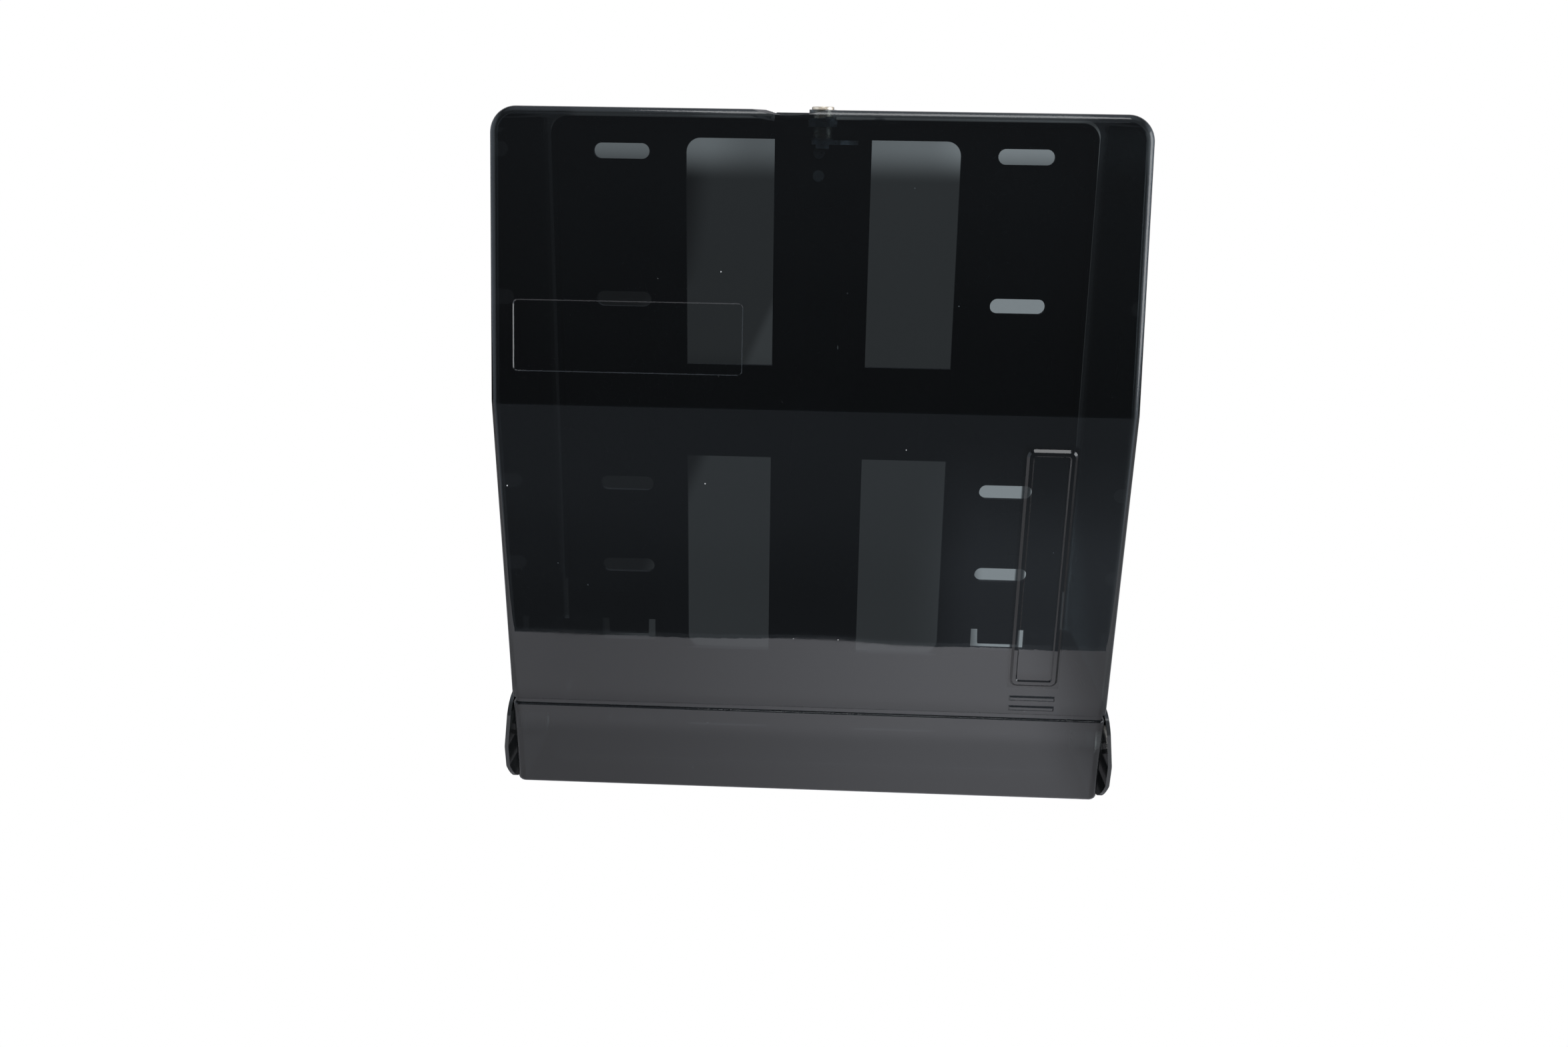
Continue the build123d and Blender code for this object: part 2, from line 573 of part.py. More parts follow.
top_bumpers.part.label = "top_bumpers"
export_step(top_bumpers.part, "parts/top_bumpers.step")


# ---- Cover ----

upper_outer = slab(cover_block(0.0), CREASE_Z, TALL, low_r=LIP_R)
groove_outer = slab(cover_block(GROOVE_INSET), CREASE_Z - GROOVE_H, CREASE_Z)
band_outer = slab(
    cover_block(BAND_INSET, overrun=BAND_OVERRUN),
    FOOT_Z,
    CREASE_Z - GROOVE_H,
    low_r=BAND_FOOT_R,
    high_r=LIP_R,
)
upper_cavity = cover_block(WALL, overrun=CAVITY_OVERRUN)
band_cavity = slab(
    cover_block(BAND_CAVITY_INSET, overrun=CAVITY_OVERRUN), FOOT_Z - WALL, BAND_CAVITY_TOP
)

upper_face = (KINK_Y, KINK_Z, TOP_FRONT_Y, TOP_FRONT_Z)
lower_face = (CREASE_Y, CREASE_Z, KINK_Y, KINK_Z)
top_run = Plane(
    origin=(SCOOP_X, -RIM_GAP, RIM_Z),
    x_dir=(1, 0, 0),
    z_dir=(0, TOP_FRONT_Y + RIM_GAP, TOP_FRONT_Z - RIM_Z),
)

with BuildPart() as cover_cavity:
    add(upper_cavity)
    with Locations((0, TAB_REAR_Y, BAND_CAVITY_TOP)):
        Box(TALL, TALL, TALL, align=(Align.CENTER, Align.MAX, Align.MAX), mode=Mode.SUBTRACT)
    add(band_cavity)
    # Room kept for the wall under the scoop, in front of the notch.
    with BuildSketch(top_run.offset(NOTCH_DEPTH + NOTCH_WALL)):
        with Locations((0, SCOOP_R - SCOOP_DEPTH)):
            Circle(SCOOP_R + WALL)
    extrude(amount=TALL, mode=Mode.SUBTRACT)

with BuildPart() as cover_shell:
    add(upper_outer)
    add(groove_outer)
    add(band_outer)
    add(cover_cavity.part, mode=Mode.SUBTRACT)

    # The sides end above the arms, behind a tab on each side that carries the hinge.
    with BuildSketch(Plane.YZ):
        with Locations((TAB_REAR_Y, CREASE_Z)):
            Rectangle(TALL, TALL, align=(Align.MIN, Align.MAX))
    extrude(amount=TALL, both=True, mode=Mode.SUBTRACT)

    # Finger scoop, a shallow trough along the top wall, and the notch behind it.
    with BuildSketch(top_run):
        with Locations((0, SCOOP_R - SCOOP_DEPTH)):
            Circle(SCOOP_R)
    extrude(amount=TALL, both=True, mode=Mode.SUBTRACT)
    with BuildSketch(Plane.XY.offset(RIM_Z)):
        with Locations((KEEPER_TAB_X, 0)):
            RectangleRounded(NOTCH_W, 2 * NOTCH_DEPTH, NOTCH_R)
    extrude(amount=-2 * WALL, mode=Mode.SUBTRACT)

    # Flat pad and hole for the lock.
    with Locations((0, LOCK_Y, LOCK_PAD_BOTTOM)):
        Cylinder(LOCK_PAD_R, LOCK_PAD_TOP - LOCK_PAD_BOTTOM, align=UPWARDS)
        Cylinder(SLEEVE_R, 2 * (RIM_Z - LOCK_PAD_BOTTOM), mode=Mode.SUBTRACT)
        Cylinder(
            LOCK_PAD_R + LOCK_PAD_CLEARANCE,
            LOCK_PAD_BOTTOM - SLEEVE_BOTTOM,
            align=DOWNWARDS,
            mode=Mode.SUBTRACT,
        )

    # Hinge bosses.
    for side in SIDES:
        with BuildSketch(Plane.YZ.offset(side * BOSS_INNER_X)):
            with Locations((PIVOT_Y, PIVOT_Z)):
                Circle(BOSS_R)
        extrude(amount=side * (BOSS_OUTER_X - BOSS_INNER_X))
        with BuildSketch(Plane.YZ.offset(side * BOSS_INNER_X)):
            with Locations((PIVOT_Y, PIVOT_Z)):
                Circle(BUSH_R)
        extrude(amount=side * (HALF_WIDTH - BOSS_INNER_X), mode=Mode.SUBTRACT)

    # Shallow recess for a label on the upper face.
    label_low, label_high = [up_slope(z, *upper_face) for z in (LABEL_LOW_Z, LABEL_HIGH_Z)]
    with BuildSketch(face_plane(*upper_face)):
        with Locations((LABEL_X, (label_low + label_high) / 2)):
            RectangleRounded(LABEL_W, label_high - label_low, LABEL_R)
    extrude(amount=-LABEL_DEPTH, taper=SLOPE, mode=Mode.SUBTRACT)

    # Raised rim of the level window on the lower face, and two bars below it.
    level_low, level_high = [up_slope(z, *lower_face) for z in (LEVEL_LOW_Z, LEVEL_HIGH_Z)]
    level_h = level_high - level_low
    level_spot = (LEVEL_X, (level_low + level_high) / 2)
    with BuildSketch(face_plane(*lower_face).offset(-ROOT)):
        with Locations(level_spot):
            RectangleRounded(LEVEL_W + 2 * ROOT, level_h + 2 * ROOT, LEVEL_R + ROOT)
    extrude(amount=ROOT + LEVEL_RISE, taper=SLOPE)
    with BuildSketch(face_plane(*lower_face).offset(LEVEL_RISE)):
        with Locations(level_spot):
            RectangleRounded(LEVEL_W - 2 * LEVEL_RIM_W, level_h - 2 * LEVEL_RIM_W, LEVEL_INNER_R)
    extrude(amount=-LEVEL_SINK, taper=SLOPE, mode=Mode.SUBTRACT)
    with BuildSketch(face_plane(*lower_face).offset(-ROOT)):
        with Locations(*[(LEVEL_X, up_slope(z, *lower_face)) for z in BAR_ROWS]):
            Rectangle(BAR_W + 2 * ROOT, BAR_H + 2 * ROOT)
    extrude(amount=ROOT + BAR_RISE, taper=SLOPE)

cover_shell.part.label = "cover_shell"
export_step(cover_shell.part, "parts/cover_shell.step")


# ---- Hinge pins and bushes, one of each on either side ----

for side, name in zip(SIDES, ("left", "right")):
    with BuildPart() as hinge_pin:
        with BuildSketch(Plane.YZ.offset(side * (BOSS_INNER_X + PIN_SETBACK))):
            with Locations((PIVOT_Y, PIVOT_Z)):
                Circle(PIN_R)
        extrude(amount=side * (ARM_BOSS_X + PIN_DEPTH - BOSS_INNER_X - PIN_SETBACK))
        chamfer(hinge_pin.edges().sort_by(lambda edge: abs(edge.center().X))[0], PIN_CHAMFER)
    hinge_pin.part.label = f"{name}_hinge_pin"
    export_step(hinge_pin.part, f"parts/{name}_hinge_pin.step")

    with BuildPart() as hinge_bush:
        with BuildSketch(Plane.YZ.offset(side * BOSS_INNER_X)):
            with Locations((PIVOT_Y, PIVOT_Z)):
                Circle(BUSH_R)
        extrude(amount=side * (BOSS_OUTER_X - BOSS_INNER_X))
        with BuildSketch(Plane.YZ.offset(side * BOSS_OUTER_X)):
            with Locations((PIVOT_Y, PIVOT_Z)):
                Circle(BUSH_FLANGE_R)
        extrude(amount=side * BUSH_FLANGE_T)
        with BuildSketch(Plane.YZ.offset(side * BOSS_INNER_X)):
            with Locations((PIVOT_Y, PIVOT_Z)):
                Circle(PIN_R + RUNNING_GAP)
        extrude(amount=side * (BOSS_OUTER_X + BUSH_FLANGE_T - BOSS_INNER_X), mode=Mode.SUBTRACT)
    hinge_bush.part.label = f"{name}_hinge_bush"
    export_step(hinge_bush.part, f"parts/{name}_hinge_bush.step")


# ---- Lock: fixed pieces in the cover ----

with BuildPart() as lock_sleeve:
    with Locations((0, LOCK_Y, LOCK_PAD_TOP)):
        Cylinder(SLEEVE_R, LOCK_PAD_TOP - SLEEVE_BOTTOM, align=DOWNWARDS)
        Cylinder(SLEEVE_FLANGE_R, SLEEVE_FLANGE_T, align=UPWARDS)
        Cylinder(BARREL_R + RUNNING_GAP, TALL, mode=Mode.SUBTRACT)
        Cylinder(BARREL_HEAD_R + 2 * RUNNING_GAP, TALL, align=UPWARDS, mode=Mode.SUBTRACT)
    outer_rim = lock_sleeve.edges().group_by(Axis.Z)[-1].sort_by(SortBy.LENGTH)[-1]
    fillet(outer_rim, SLEEVE_EDGE_R)

lock_sleeve.part.label = "lock_sleeve"
export_step(lock_sleeve.part, "parts/lock_sleeve.step")

with BuildPart() as lock_washer:
    with Locations((0, LOCK_Y, LOCK_PAD_BOTTOM)):
        Cylinder(WASHER_R, WASHER_T, align=DOWNWARDS)
        Cylinder(SLEEVE_R, TALL, mode=Mode.SUBTRACT)

lock_washer.part.label = "lock_washer"
export_step(lock_washer.part, "parts/lock_washer.step")

with BuildPart() as lock_nut:
    with BuildSketch(Plane.XY.offset(LOCK_PAD_BOTTOM - WASHER_T)):
        with Locations((0, LOCK_Y)):
            RegularPolygon(NUT_FLAT_R, 6, major_radius=False)
            Circle(SLEEVE_R, mode=Mode.SUBTRACT)
    extrude(amount=-NUT_T)

lock_nut.part.label = "lock_nut"
export_step(lock_nut.part, "parts/lock_nut.step")


# ---- Lock: the pieces that the key turns ----

with BuildPart() as lock_barrel:
    with Locations((0, LOCK_Y, LOCK_PAD_TOP + BARREL_HEAD_GAP)):
        Cylinder(BARREL_R, LOCK_PAD_TOP + BARREL_HEAD_GAP - CAM_TOP, align=DOWNWARDS)
        Cylinder(BARREL_HEAD_R, SLEEVE_FLANGE_T - 2 * BARREL_HEAD_GAP, align=UPWARDS)
        with Locations((0, 0, SLEEVE_FLANGE_T)):
            Box(KEY_SLOT_W, KEY_SLOT_LENGTH, 2 * KEY_SLOT_DEPTH, mode=Mode.SUBTRACT)
    with Locations((0, LOCK_Y, CAM_TOP)):
        Box(CAM_SQUARE, CAM_SQUARE, CAM_T, align=DOWNWARDS)
    with Locations((0, LOCK_Y, CAM_TOP - CAM_T)):
        Cylinder(CAM_SCREW_R, CAM_HOLE_DEPTH, align=UPWARDS, mode=Mode.SUBTRACT)

lock_barrel.part.label = "lock_barrel"
export_step(lock_barrel.part, "parts/lock_barrel.step")

# Hook cam: the claw stands to the side when unlocked and swings behind the keeper's peg.
with BuildPart() as lock_cam:
    with BuildSketch(Plane.XY.offset(CAM_TOP)):
        with Locations((0, LOCK_Y)):
            Circle(CAM_R)
        with Locations(Location((0, LOCK_Y, 0), (0, 0, CAM_ARM_ANGLE))):
            arm_length = (CLAW_INNER_R + CLAW_OUTER_R) / 2
            Rectangle(arm_length, CAM_ARM_W, align=(Align.MIN, Align.CENTER))
        with BuildLine():
            outside = CenterArc((0, LOCK_Y), CLAW_OUTER_R, CLAW_START, CLAW_SWEEP)
            inside = CenterArc((0, LOCK_Y), CLAW_INNER_R, CLAW_START, CLAW_SWEEP)
            Line(outside @ 0, inside @ 0)
            Line(outside @ 1, inside @ 1)
        make_face()
        with Locations((0, LOCK_Y)):
            Rectangle(CAM_SQUARE, CAM_SQUARE, mode=Mode.SUBTRACT)
    extrude(amount=-CAM_T)

lock_cam.part.label = "lock_cam"
export_step(lock_cam.part, "parts/lock_cam.step")

with BuildPart() as cam_screw:
    with Locations((0, LOCK_Y, CAM_TOP - CAM_T)):
        Cylinder(CAM_SCREW_R, CAM_SCREW_LENGTH, align=UPWARDS)
        Cylinder(CAM_SCREW_HEAD_R, PAN_HEAD_H, align=DOWNWARDS)
        with Locations((0, 0, -PAN_HEAD_H)):
            cross_slot(CAM_CROSS_LENGTH)

cam_screw.part.label = "cam_screw"
export_step(cam_screw.part, "parts/cam_screw.step")

with BuildPart() as spring_washer:
    spring_inner_r = BARREL_R + 2 * RUNNING_GAP
    with BuildSketch(Plane.YZ):
        with BuildLine():
            Polyline(
                (LOCK_Y + spring_inner_r, CAM_TOP),
                (LOCK_Y + spring_inner_r + SPRING_T, CAM_TOP),
                (LOCK_Y + SPRING_R, CAM_TOP + SPRING_RISE),
                (LOCK_Y + SPRING_R, CAM_TOP + SPRING_RISE + SPRING_T),
                (LOCK_Y + spring_inner_r, CAM_TOP + SPRING_T),
                close=True,
            )
        make_face()
    revolve(axis=Axis((0, LOCK_Y, 0), (0, 0, 1)))

spring_washer.part.label = "spring_washer"
export_step(spring_washer.part, "parts/spring_washer.step")
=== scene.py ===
import math

import bpy
from mathutils import Matrix, Vector


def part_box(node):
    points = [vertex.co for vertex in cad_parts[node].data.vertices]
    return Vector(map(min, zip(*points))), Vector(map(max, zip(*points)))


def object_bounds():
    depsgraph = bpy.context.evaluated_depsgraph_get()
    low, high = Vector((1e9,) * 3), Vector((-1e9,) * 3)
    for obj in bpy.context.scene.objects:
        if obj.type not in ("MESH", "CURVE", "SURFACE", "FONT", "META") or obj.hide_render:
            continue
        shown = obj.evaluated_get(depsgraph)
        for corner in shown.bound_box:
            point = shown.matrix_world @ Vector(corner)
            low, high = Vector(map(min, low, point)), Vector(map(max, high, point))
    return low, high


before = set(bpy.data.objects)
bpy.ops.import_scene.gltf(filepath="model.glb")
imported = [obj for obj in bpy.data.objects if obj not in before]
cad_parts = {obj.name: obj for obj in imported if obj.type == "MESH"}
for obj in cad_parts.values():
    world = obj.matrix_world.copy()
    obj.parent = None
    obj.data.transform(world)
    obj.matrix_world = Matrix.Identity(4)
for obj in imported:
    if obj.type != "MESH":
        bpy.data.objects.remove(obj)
cad_low, cad_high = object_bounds()

# ---- Node helpers ----


class Tree:
    """A node tree with short calls for its nodes."""

    def __init__(self, owner):
        owner.use_nodes = True
        self.tree = owner.node_tree
        self.tree.nodes.clear()

    def add(self, kind, inputs=None, **settings):
        """A new node. Inputs go by name or place, as a number, a colour or another node's output."""
        made = self.tree.nodes.new(kind)
        for key, value in settings.items():
            setattr(made, key, value)
        for key, value in (inputs or {}).items():
            if isinstance(value, bpy.types.NodeSocket):
                self.tree.links.new(value, made.inputs[key])
            else:
                made.inputs[key].default_value = value
        return made

    def math(self, operation, a, b=0.0, c=0.0):
        """The output of a Math node."""
        return self.add("ShaderNodeMath", {0: a, 1: b, 2: c}, operation=operation).outputs[0]

    def ramp(self, value, low, high, to_low=0.0, to_high=1.0):
        """value carried smoothly from low..high to to_low..to_high."""
        made = self.add(
            "ShaderNodeMapRange",
            {"Value": value, "From Min": low, "From Max": high, "To Min": to_low, "To Max": to_high},
            interpolation_type="SMOOTHSTEP",
        )
        return made.outputs[0]

    def blend(self, share, a, b):
        """Colour a where share is 0 and b where it is 1."""
        made = self.add("ShaderNodeMix", {"Factor": share}, data_type="RGBA")
        for socket, value in ((made.inputs[6], a), (made.inputs[7], b)):
            if isinstance(value, bpy.types.NodeSocket):
                self.tree.links.new(value, socket)
            else:
                socket.default_value = (*value, 1.0)
        return made.outputs[2]

    def place(self, scale=(1, 1, 1), turn=(0, 0, 0), shift=(0, 0, 0)):
        """The point in the row frame, in metres, moved, turned and scaled."""
        point = self.add("ShaderNodeTexCoord").outputs["Object"]
        made = self.add(
            "ShaderNodeMapping", {"Vector": point, "Location": shift, "Rotation": turn, "Scale": scale}
        )
        return made.outputs[0]

    def noise(self, vector, scale, detail=2.0):
        inputs = {"Vector": vector, "Scale": scale, "Detail": detail, "Roughness": 0.5}
        return self.add("ShaderNodeTexNoise", inputs).outputs[0]

    def bump(self, height, distance, strength=1.0, normal=None):
        inputs = {"Height": height, "Distance": distance, "Strength": strength}
        if normal is not None:
            inputs["Normal"] = normal
        return self.add("ShaderNodeBump", inputs).outputs[0]

    def rounded(self, radius):
        """The normal with sharp edges softened over a radius, as moulding and tumbling leave them."""
        return self.add("ShaderNodeBevel", {"Radius": radius}, samples=4).outputs[0]

    def output(self, shader, kind="ShaderNodeOutputMaterial"):
        self.add(kind, {"Surface": shader})

    # Marks that real surfaces carry.

    def specks(self, vector, scale, share, size):
        """1 on small round grains: share is how many cells hold one, size its radius in cells."""
        cells = self.add("ShaderNodeTexVoronoi", {"Vector": vector, "Scale": scale})
        chance = self.add("ShaderNodeSeparateColor", {0: cells.outputs["Color"]})
        radius = self.math("MULTIPLY", chance.outputs[1], size)
        held = self.math("LESS_THAN", chance.outputs[0], share)
        inside = self.math("LESS_THAN", cells.outputs["Distance"], radius)
        return self.math("MULTIPLY", held, inside)

    def hairlines(self, turn, stretch, scale, width):
        """1 on long thin lines, as fine scratches are."""
        vector = self.place(scale=stretch, turn=turn)
        line = self.noise(vector, scale, 0.0)
        near = self.math("LESS_THAN", self.math("ABSOLUTE", self.math("SUBTRACT", line, 0.5)), width)
        patches = self.ramp(self.noise(self.place(), 9.0, 1.0), 0.54, 0.66)
        return self.math("MULTIPLY", near, patches)


def material(name):
    made = bpy.data.materials.new(name)
    return made, Tree(made)


# ---- Materials ----

# Sunk panel of the level window on the cover's front: its middle, placed from the cover's own middle and
# lower edge, its half sizes, and the rim round it, where the cover's see-through tint carries a painted
# shade.
shell_low, shell_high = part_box("cover_shell")
LEVEL_X = (shell_low.x + shell_high.x) / 2 + 0.1029
LEVEL_Z = shell_low.z + 0.1136
LEVEL_HALF_W, LEVEL_HALF_H = 0.0078, 0.0532
LEVEL_RIM_W, RIM_FADE_IN, RIM_FADE_OUT = 0.0034, 0.0004, 0.0008

# Mirror strength of clear plastic met square on; it rises to 1 at a glancing view.
PLASTIC_MIRROR = 0.043


def smoked_plastic():
    """Clear grey acrylic-like cover: tinted see-through with a mirror gloss and a little dust. The level
    window's raised rim bends the light aside, so less comes through it; that is painted shade here, a
    darker tint in a frame round the panel."""
    made, t = material("smoked_plastic")
    point = t.place()
    waves = t.noise(t.place(scale=(1.0, 1.0, 1.6)), 11.0, 1.0)
    peel = t.noise(point, 340.0, 2.0)
    normal = t.bump(peel, 0.000004, 1.0, t.bump(waves, 0.0003, 1.0))
    facing = t.add("ShaderNodeLayerWeight", {"Blend": 0.5}).outputs["Facing"]
    mirror = t.math("MULTIPLY_ADD", t.math("POWER", facing, 5.0), 1.0 - PLASTIC_MIRROR, PLASTIC_MIRROR)
    depth = t.math("POWER", facing, 3.0)
    tint = t.blend(depth, (0.335, 0.36, 0.372), (0.2, 0.23, 0.24))
    place = t.add("ShaderNodeSeparateXYZ", {0: point})
    beside, above = [
        t.math("SUBTRACT", t.math("ABSOLUTE", t.math("SUBTRACT", place.outputs[axis], centre)), half)
        for axis, centre, half in ((0, LEVEL_X, LEVEL_HALF_W), (2, LEVEL_Z, LEVEL_HALF_H))
    ]
    from_panel = t.math("MAXIMUM", beside, above)
    # Painted shade: the see-through tint turns dark in a frame round the level window's panel, standing in
    # for the light its raised rim bends aside.
    rim_start = t.ramp(from_panel, 0.0, RIM_FADE_IN)
    rim_end = t.ramp(from_panel, LEVEL_RIM_W, LEVEL_RIM_W + RIM_FADE_OUT, 1.0, 0.0)
    tint = t.blend(t.math("MULTIPLY", rim_start, rim_end), tint, (0.1, 0.11, 0.115))
    clear = t.add("ShaderNodeBsdfTransparent", {"Color": tint}).outputs[0]
    smear = t.noise(t.place(scale=(1.0, 1.0, 0.35)), 30.0, 4.0)
    roughness = t.ramp(smear, 0.35, 0.75, 0.012, 0.05)
    gloss = t.add(
        "ShaderNodeBsdfGlossy",
        {"Color": (1.0, 1.0, 1.0, 1.0), "Roughness": roughness, "Normal": normal},
    ).outputs[0]
    haze = t.add("ShaderNodeBsdfDiffuse", {"Color": (0.5, 0.52, 0.54, 1.0), "Normal": normal}).outputs[0]
    dust = t.specks(point, 150.0, 0.12, 0.05)
    lint = t.specks(t.place(scale=(1.0, 1.0, 0.3), turn=(0.0, 0.5, 0.0)), 130.0, 0.05, 0.04)
    marks = t.math("MAXIMUM", t.math("MULTIPLY", dust, 0.3), t.math("MULTIPLY", lint, 0.12))
    film = t.math("ADD", marks, 0.001)
    body = t.add("ShaderNodeMixShader", {0: film, 1: clear, 2: haze}).outputs[0]
    t.output(t.add("ShaderNodeMixShader", {0: mirror, 1: body, 2: gloss}).outputs[0])
    return made


def black_plastic(name, gloss, colour, grain_depth):
    """Moulded black plastic: gloss is its base roughness, grain_depth the height of its fine texture."""
    made, t = material(name)
    point = t.place()
    cloud = t.noise(point, 24.0, 3.0)
    grain = t.noise(point, 900.0, 2.0)
    flow = t.noise(t.place(scale=(1.0, 1.0, 0.2)), 60.0, 3.0)
    dust = t.specks(point, 150.0, 0.12, 0.05)
    scuffs = t.hairlines((0.5, 0.1, 0.2), (1.0, 0.08, 1.0), 160.0, 0.008)
    base = t.blend(t.ramp(cloud, 0.3, 0.7), colour, [1.5 * c + 0.001 for c in colour])
    base = t.blend(t.math("MULTIPLY", dust, 0.5), base, (0.28, 0.29, 0.3))
    roughness = t.math("ADD", t.ramp(flow, 0.3, 0.75, gloss, gloss + 0.09), t.math("MULTIPLY", scuffs, 0.2))
    normal = t.bump(grain, grain_depth, 1.0, t.bump(cloud, 0.0004, 0.6, t.rounded(0.0004)))
    shader = t.add(
        "ShaderNodeBsdfPrincipled",
        {"Base Color": base, "Roughness": roughness, "Normal": normal, "IOR": 1.5},
    )
    t.output(shader.outputs[0])
    return made


def metal(name, colour, worn, roughness, line_scale=900.0, centre=None):
    """Machined or rolled metal. With a centre, its fine lines run round it as on a turned face."""
    made, t = material(name)
    point = t.place()
    cloud = t.noise(point, 300.0, 3.0)
    if centre is None:
        lines = t.noise(t.place(scale=(1.0, 0.04, 1.0)), line_scale, 2.0)
    else:
        rings = t.place(shift=(-centre[0], -centre[1], 0.0))
        lines = t.add(
            "ShaderNodeTexWave",
            {"Vector": rings, "Scale": line_scale, "Distortion": 0.6, "Detail": 1.0},
            wave_type="RINGS",
            rings_direction="Z",
        ).outputs["Fac"]
    base = t.blend(t.ramp(cloud, 0.4, 0.7), colour, worn)
    finish = t.ramp(cloud, 0.3, 0.75, roughness, roughness + 0.16)
    normal = t.bump(lines, 0.000012, 1.0, t.rounded(0.0002))
    shader = t.add(
        "ShaderNodeBsdfPrincipled",
        {"Base Color": base, "Metallic": 0.8, "Roughness": finish, "Normal": normal},
    )
    t.output(shader.outputs[0])
    return made


def nylon():
    """Natural grey nylon, slightly mottled, with a waxy skin."""
    made, t = material("grey_nylon")
    point = t.place()
    cloud = t.noise(point, 420.0, 3.0)
    base = t.blend(t.ramp(cloud, 0.35, 0.7), (0.33, 0.33, 0.32), (0.44, 0.43, 0.41))
    shader = t.add(
        "ShaderNodeBsdfPrincipled",
        {
            "Base Color": base,
            "Roughness": t.ramp(cloud, 0.3, 0.8, 0.36, 0.5),
            "Normal": t.bump(t.noise(point, 1500.0), 0.00002, 1.0),
            "Subsurface Weight": 0.08,
            "Subsurface Radius": (0.002, 0.002, 0.002),
        },
    )
    t.output(shader.outputs[0])
    return made


def clear_rubber():
    """Soft clear bumper: mostly see-through, with a bright skin."""
    made, t = material("clear_rubber")
    cloud = t.noise(t.place(), 500.0, 2.0)
    facing = t.add("ShaderNodeLayerWeight", {"Blend": 0.5}).outputs["Facing"]
    mirror = t.math("MULTIPLY_ADD", t.math("POWER", facing, 5.0), 0.96, 0.04)
    clear = t.add(
        "ShaderNodeBsdfTransparent", {"Color": t.blend(cloud, (0.75, 0.77, 0.78), (0.88, 0.89, 0.9))}
    ).outputs[0]
    milk = t.add("ShaderNodeBsdfDiffuse", {"Color": (0.62, 0.64, 0.65, 1.0)}).outputs[0]
    gloss = t.add("ShaderNodeBsdfGlossy", {"Roughness": t.ramp(cloud, 0.3, 0.7, 0.1, 0.2)}).outputs[0]
    body = t.add("ShaderNodeMixShader", {0: 0.22, 1: clear, 2: milk}).outputs[0]
    t.output(t.add("ShaderNodeMixShader", {0: mirror, 1: body, 2: gloss}).outputs[0])
    return made


lock_low, lock_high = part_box("lock_barrel")
lock_axis = ((lock_low.x + lock_high.x) / 2, (lock_low.y + lock_high.y) / 2)

MATERIALS = {
    "smoked": smoked_plastic(),
    "plate": black_plastic("black_plate", 0.2, (0.008, 0.009, 0.010), 0.000016),
    "gloss": black_plastic("black_gloss", 0.07, (0.006, 0.0065, 0.007), 0.000004),
    "zinc": metal("zinc_steel", (0.62, 0.63, 0.66), (0.5, 0.52, 0.56), 0.26),
    "bright": metal("bright_steel", (0.7, 0.7, 0.71), (0.6, 0.6, 0.61), 0.18),
    "nickel": metal("nickel_brass", (0.74, 0.66, 0.55), (0.6, 0.5, 0.38), 0.2, 700.0, lock_axis),
    "nylon": nylon(),
    "rubber": clear_rubber(),
}
FINISHES = {
    "cover_shell": "smoked",
    "back_plate": "plate",
    "latch_keeper": "plate",
    "right_side_arm": "gloss",
    "left_side_arm": "gloss",
    "dispensing_tray": "gloss",
    "arm_screws": "zinc",
    "tray_screws": "zinc",
    "keeper_screws": "zinc",
    "cam_screw": "zinc",
    "lock_washer": "zinc",
    "lock_nut": "zinc",
    "lock_cam": "zinc",
    "left_hinge_pin": "bright",
    "right_hinge_pin": "bright",
    "spring_washer": "bright",
    "lock_sleeve": "nickel",
    "lock_barrel": "nickel",
    "left_hinge_bush": "nylon",
    "right_hinge_bush": "nylon",
    "top_bumpers": "rubber",
}
for name, finish in FINISHES.items():
    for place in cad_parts[name].material_slots:
        place.material = MATERIALS[finish]


# ---- Studio: white floor that curves up behind, carrying painted light, shade and reflections, dim room, soft lights ----

floor_z = cad_low.z - 0.0002
# The table is the strip of floor in front of the object that its gloss mirrors.
TABLE_FRONT_Y, TABLE_REAR_Y = -0.255, -0.113
REACH = 4.0
BEND_R, BEND_Y, BEND_STEPS = 0.5, 2.2, 10


def strip(name, rows, half_width):
    """A sheet that runs across X along the profile rows of (y, z)."""
    mesh = bpy.data.meshes.new(name)
    points = [(side * half_width, y, z) for y, z in rows for side in (-1, 1)]
    faces = [(2 * i, 2 * i + 1, 2 * i + 3, 2 * i + 2) for i in range(len(rows) - 1)]
    mesh.from_pydata(points, [], faces)
    mesh.shade_smooth()
    sheet = bpy.data.objects.new(name, mesh)
    bpy.context.scene.collection.objects.link(sheet)
    return sheet


def table_painted_reflection(t, place):
    """Painted reflection of the table, the strength of the glow that glossy rays see: brighter to the right
    as painted light, and brighter a little away from the object, with painted shade close to it.
    """
    x, y = place[0], place[1]
    across = t.math("MULTIPLY", t.ramp(x, -0.14, 0.11, 1.14, 1.92), t.ramp(x, 0.115, 0.16, 1.0, 0.5))
    return t.math("MULTIPLY", across, t.ramp(y, -0.2, -0.18, 1.0, 0.8))


def paper_painted_reflection(t, place):
    """Painted reflection of the paper elsewhere, the glow that glossy rays see: painted shade close to the
    object, bright high up.
    """
    x, y, z = place
    outside = t.ramp(t.math("ABSOLUTE", x), 0.15, 0.24, 0.0, 0.8)
    beside = t.math("MULTIPLY", outside, t.ramp(y, 0.1, 0.4, 1.0, 0.0))
    away = t.math("MAXIMUM", t.ramp(z, 0.3, 0.9), beside)
    return t.math("MULTIPLY_ADD", away, 0.5, 0.08)


